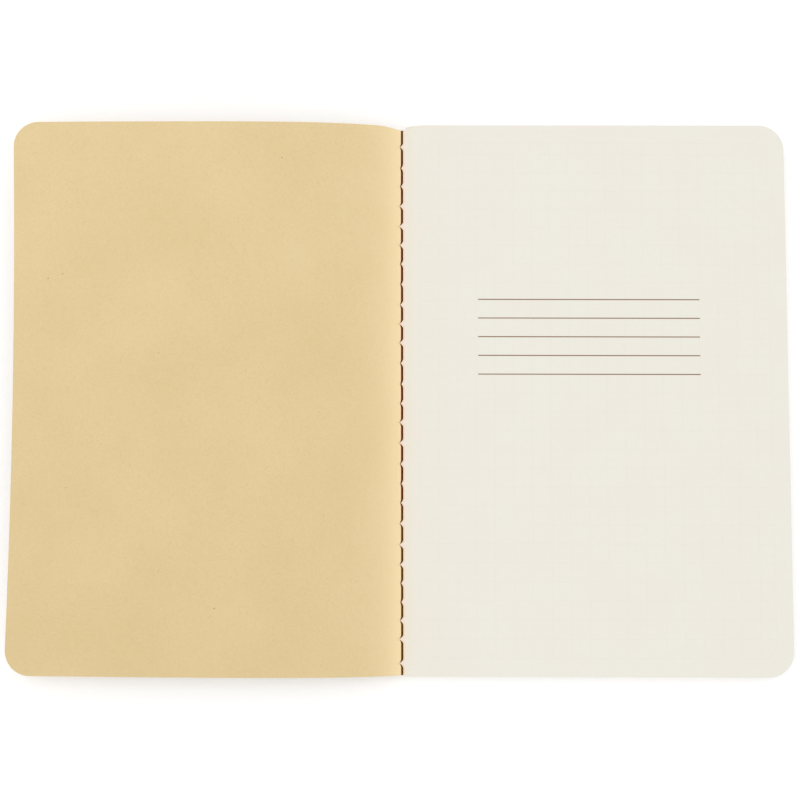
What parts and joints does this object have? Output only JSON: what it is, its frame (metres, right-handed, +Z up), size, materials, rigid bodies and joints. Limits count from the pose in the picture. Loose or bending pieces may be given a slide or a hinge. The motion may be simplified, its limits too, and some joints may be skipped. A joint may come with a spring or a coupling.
{
  "type": "stitched pocket notebook",
  "caption": "Thin pocket notebook with a rounded kraft card cover and cream sheets sewn through the fold, lying open at its first page.",
  "frame": {"origin": "bottom centre of the open notebook's box, on the surface that it lies on", "axes": "+X across the spread from the opened front cover to the sheets, +Y up the page, +Z up"},
  "size_m": [0.207, 0.148, 0.0084],
  "materials": {
    "cream_paper": "uncoated, matt",
    "kraft_card": "uncoated kraft card, matt",
    "sewing_thread": "spun thread, matt"
  },
  "bodies": {
    "block": {"sheet_01": "cream_paper", "sheet_02": "cream_paper", "sheet_03": "cream_paper", "sheet_04": "cream_paper", "sheet_05": "cream_paper", "sheet_06": "cream_paper", "sheet_07": "cream_paper", "sheet_08": "cream_paper", "sheet_09": "cream_paper", "sheet_10": "cream_paper", "sheet_11": "cream_paper", "sheet_12": "cream_paper", "sheet_13": "cream_paper", "sheet_14": "cream_paper", "sheet_15": "cream_paper", "sheet_16": "cream_paper", "sheet_17": "cream_paper", "sheet_18": "cream_paper", "sheet_19": "cream_paper", "sheet_20": "cream_paper", "back_cover": "kraft_card", "spine_thread": "sewing_thread", "centre_thread": "sewing_thread"},
    "front_spine": {"front_spine_strip": "kraft_card"},
    "front_bend": {"front_bend_strip": "kraft_card"},
    "front_panel": {"front_cover": "kraft_card"}
  },
  "joints": [
    {"name": "cover_swing", "type": "hinge", "parent": "block", "child": "front_panel", "pos_m": [-0.00037, 0, 0.00649], "axis": [0, 1, 0], "range_deg": [0, 178.5]},
    {"name": "cover_crease", "type": "hinge", "parent": "block", "child": "front_spine", "pos_m": [0.00018, 0, 0.00292], "axis": [0, 1, 0], "range_deg": [0, 102]},
    {"name": "spine_flex", "type": "hinge", "parent": "front_spine", "child": "front_bend", "pos_m": [-0.00282, 0, 0.00398], "axis": [0, 1, 0], "range_deg": [0, 59]}
  ],
  "couplings": [
    {"joint": "cover_crease", "follows": "cover_swing", "ratio": 0.57143},
    {"joint": "spine_flex", "follows": "cover_swing", "ratio": 0.33053}
  ]
}
